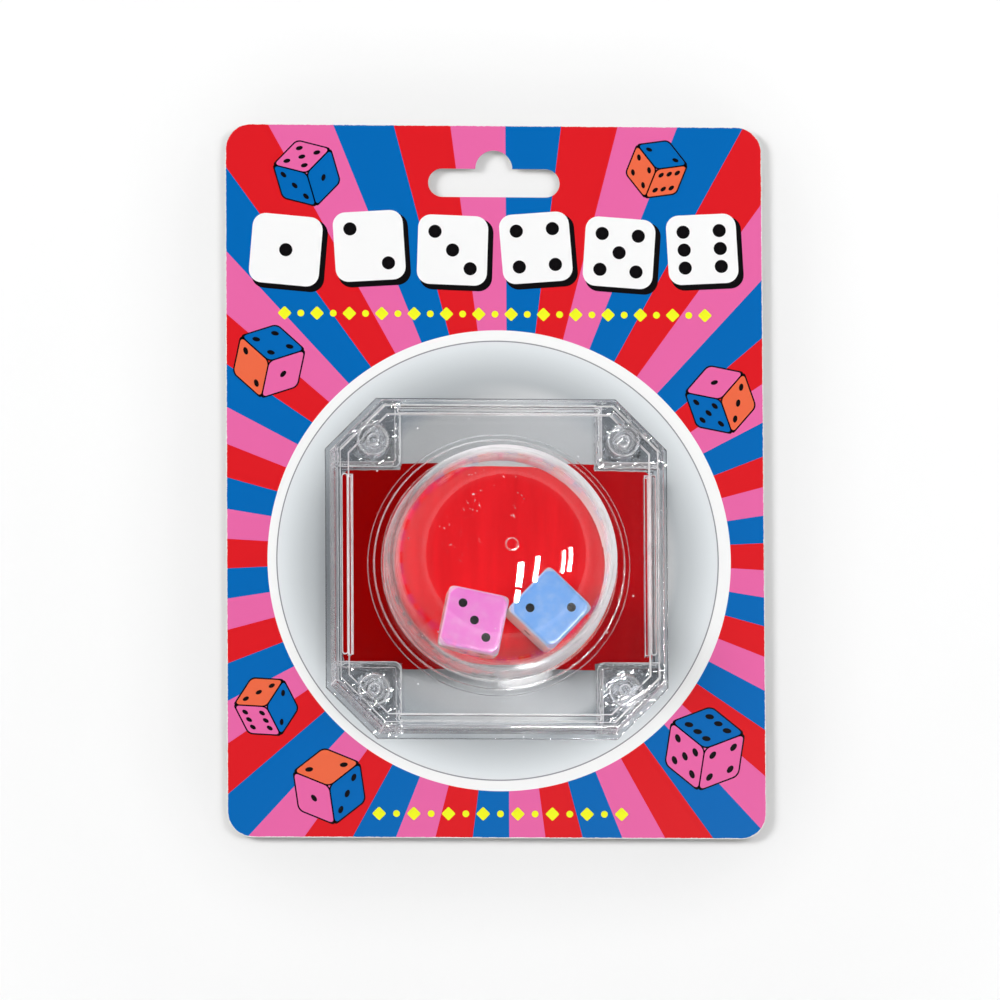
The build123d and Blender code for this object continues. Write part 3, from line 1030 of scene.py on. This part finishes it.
class DICE_GAME_OT_dice(Piece, bpy.types.Operator):
    """Add the pink and the blue die with their pips"""

    bl_idname = "dice_game.dice"
    bl_label = "Dice"

    def build(self):
        dice = settings().dice
        pip = pip_plastic()
        # node, turn about Z (degrees), colour, and the count on each side in the order of SIDES
        for node, turn, face, counts in (
            ("die_pink", -11.7, dice.pink, (3, 4, 5, 2, 1, 6)),
            ("die_blue", 46.0, dice.blue, (2, 5, 3, 4, 6, 1)),
        ):
            self.add_die(node, radians(turn), face, counts, pip)

    def add_die(self, node, turn, face, counts, pip):
        low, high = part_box(node)
        middle = (low + high) / 2
        half = (high.z - low.z) / 2
        rounding, ball = 1.0 * MM, 11.6 * MM
        shape = bmesh.new()
        bmesh.ops.create_cube(shape, size=2 * half)
        bmesh.ops.subdivide_edges(shape, edges=shape.edges[:], cuts=27, use_grid_fill=True)
        flat = half - rounding
        for v in shape.verts:
            core = Vector([max(-flat, min(flat, c)) for c in v.co])
            out = v.co - core
            if out.length > 1e-9:
                v.co = core + out.normalized() * rounding
            if v.co.length > ball:
                v.co *= ball / v.co.length
        colour_faces(shape.faces, 0, smooth=True)
        radius, spacing = settings().dice.pip_radius, 3.6 * MM
        heights = (half - 0.2 * MM, half + 0.015 * MM)
        for side, count in zip(SIDES, counts):
            for px, py in PIPS[count]:
                loose = bmesh.new()
                at = Matrix.Translation((px * spacing, py * spacing, 0))
                add_disc(loose, radius, heights, at, 1, 28)
                bmesh.ops.transform(loose, matrix=side, verts=loose.verts)
                part = bpy.data.meshes.new("pip")
                loose.to_mesh(part)
                loose.free()
                shape.from_mesh(part)
                bpy.data.meshes.remove(part)
        place = Matrix.Translation(middle) @ Matrix.Rotation(turn, 4, "Z")
        bmesh.ops.transform(shape, matrix=place, verts=shape.verts)
        made = die_plastic(f"{node} plastic", middle, turn, tuple(face))
        show(shape, f"{node}_body", node, [made, pip], [node])


class DICE_GAME_OT_stage(Piece, bpy.types.Operator):
    """Set the white floor, the lamps, the world and the camera"""

    bl_idname = "dice_game.stage"
    bl_label = "Stage"

    def build(self):
        scene = bpy.context.scene
        self.add_floor()
        self.add_world(scene)
        self.add_lamps()
        self.add_camera(scene)
        scene.view_settings.view_transform = "Standard"

    def add_floor(self):
        below, radius = 1.2 * MM, 4.0
        shape = bmesh.new()
        bmesh.ops.create_circle(shape, cap_ends=True, radius=radius, segments=64)
        bmesh.ops.translate(shape, vec=(0, 0, -below), verts=shape.verts)
        floor = link_mesh(shape, "floor", [self.floor_white()])

    def floor_white(self):
        """Matt white that is a little brighter away from the card, as a lit backdrop is."""
        made, t, shader = new_material("floor white")
        place = t.place()
        path = t.add("ShaderNodeLightPath").outputs
        pale = t.mix(t.noise(place, 12, 2), (0.88, 0.88, 0.88), (0.91, 0.91, 0.91))
        seen = t.most(path["Is Camera Ray"], path["Is Transmission Ray"])
        turn = 30 * MM
        reach = t.vector("LENGTH", t.past(place, turn))
        near_glow = t.times(t.step(reach, turn, turn + 30 * MM), 0.1)
        far_glow = t.times(t.step(t.vector("LENGTH", place), 0.13, 0.6), 0.75)
        t.feed_all(shader, {
            "Base Color": t.mix(self.mirrored(t, path), pale, (0.25, 0.25, 0.25)),
            "Roughness": 0.9,
            "Specular IOR Level": 0.0,
            "Emission Color": (1, 1, 1),
            "Emission Strength": t.times(seen, t.plus(far_glow, near_glow)),
        })
        return made

    def mirrored(self, t, path):
        """1 for a ray that was reflected on its way, 0 for one that only went through plastic."""
        return t.least(path["Glossy Depth"], 1.0)

    def add_world(self, scene):
        world = bpy.data.worlds.new("studio")
        world.use_nodes = True
        world.node_tree.nodes.clear()
        t = Tree(world.node_tree)
        up = t.axes(t.add("ShaderNodeTexCoord").outputs["Generated"])["Z"]
        levels = ((0.0, 1.0), (0.06, 0.9), (0.16, 0.16), (0.6, 0.06), (0.95, 0.03))
        shades = t.ramp(up, [(place, (level, level, level)) for place, level in levels])
        path = t.add("ShaderNodeLightPath").outputs
        dim = t.rest(t.times(self.mirrored(t, path), 0.9))
        mirrored = t.add("ShaderNodeBackground", {"Color": shades, "Strength": dim}).outputs[0]
        room = t.add("ShaderNodeBackground", {"Color": (1, 1, 1), "Strength": 0.42}).outputs[0]
        white = t.add("ShaderNodeBackground", {"Color": (1, 1, 1), "Strength": 1.0}).outputs[0]
        diffuse, camera = path["Is Diffuse Ray"], path["Is Camera Ray"]
        soft = t.add("ShaderNodeMixShader", {0: diffuse, 1: mirrored, 2: room}).outputs[0]
        both = t.add("ShaderNodeMixShader", {0: camera, 1: soft, 2: white}).outputs[0]
        end = t.add("ShaderNodeOutputWorld")
        t.feed(end.inputs["Surface"], both)
        scene.world = world

    def add_lamps(self):
        stage = settings().stage
        self.add_lamp("key", (-1.15, 0.4, 0.78), 2.6, (0.8, 0.8), stage.key, glint=False)
        self.add_lamp("fill_right", (0.75, 0.3, 0.95), 1.1, (0.6, 0.6), stage.fill, glint=False)
        # Panes that only glint in the dome: name, degrees to the right, degrees up, size, power
        for name, right, up, size, power in (
            ("pane_near", 13.1, -22.5, (0.06, 0.25), 10.5),
            ("pane_middle", 29.9, -17.9, (0.045, 0.25), 8.4),
            ("pane_far", 58.0, -11.0, (0.035, 0.2), 4.2),
            ("pane_edge", 66.0, -7.0, (0.04, 0.2), 4.2),
            ("pane_low", 13.5, -44.0, (0.05, 0.13), 4.2),
        ):
            way = (tan(radians(right)), tan(radians(up)), 1.0)
            self.add_lamp(name, way, 0.6, size, power, glint=True)

    def add_lamp(self, name, way, distance, size, power, glint):
        """A pane of light that hangs the given way from the popper and faces it."""
        lamp = bpy.data.lights.new(name, "AREA")
        lamp.shape = "RECTANGLE"
        lamp.size, lamp.size_y = size
        lamp.energy = power
        hung = link(bpy.data.objects.new(name, lamp))
        away = Vector(way).normalized()
        hung.location = Vector((POPPER.x, POPPER.y, 10 * MM)) + away * distance
        across = Vector((0, 1, 0)).cross(away).normalized()
        turn_to(hung, across, away.cross(across), away)
        hung.visible_camera = False
        hung.visible_diffuse = not glint
        hung.visible_glossy = hung.visible_transmission = glint

    def add_camera(self, scene):
        stage = settings().stage
        camera = bpy.data.cameras.new("camera")
        camera.sensor_width = 36.0
        camera.lens = 36.0 * stage.distance / stage.view_width
        camera.clip_start, camera.clip_end = 0.1, 20.0
        eye = link(bpy.data.objects.new("camera", camera))
        aim = Vector((1.1 * MM, -4.8 * MM, CARD_TOP))
        back = Vector((-tan(stage.lean_left), -tan(stage.lean_low), 1.0)).normalized()
        right = Vector((0, 1, 0)).cross(back).normalized()
        up = back.cross(right)
        # A small roll shares the card's skew between its sides and its ends.
        roll = Matrix.Rotation(atan(up.x) / 2, 3, back)
        turn_to(eye, roll @ right, roll @ up, back)
        eye.location = aim + back * stage.distance
        scene.camera = eye


class DICE_GAME_PT_panel(bpy.types.Panel):
    """Lists the pieces of the dice game"""

    bl_idname = "DICE_GAME_PT_panel"
    bl_label = "Dice Game"
    bl_space_type = "VIEW_3D"
    bl_region_type = "UI"
    bl_category = "Dice Game"

    def draw(self, context):
        for operator in PIECES:
            self.layout.operator(operator.bl_idname)


PIECES = (
    DICE_GAME_OT_card,
    DICE_GAME_OT_title,
    DICE_GAME_OT_beads,
    DICE_GAME_OT_printed_dice,
    DICE_GAME_OT_popper,
    DICE_GAME_OT_sheet,
    DICE_GAME_OT_dice,
    DICE_GAME_OT_stage,
)
CLASSES = (
    CardSettings, PlasticSettings, SheetSettings, DiceSettings, StageSettings, DiceGameSettings,
    *PIECES, DICE_GAME_PT_panel,
)


def register():
    for cls in CLASSES:
        bpy.utils.register_class(cls)
    bpy.types.Scene.dice_game = bpy.props.PointerProperty(type=DiceGameSettings)


def unregister():
    del bpy.types.Scene.dice_game
    for cls in reversed(CLASSES):
        bpy.utils.unregister_class(cls)


def main():
    register()
    for operator in PIECES:
        group, name = operator.bl_idname.split(".")
        getattr(getattr(bpy.ops, group), name)()


if __name__ == "__main__":
    main()
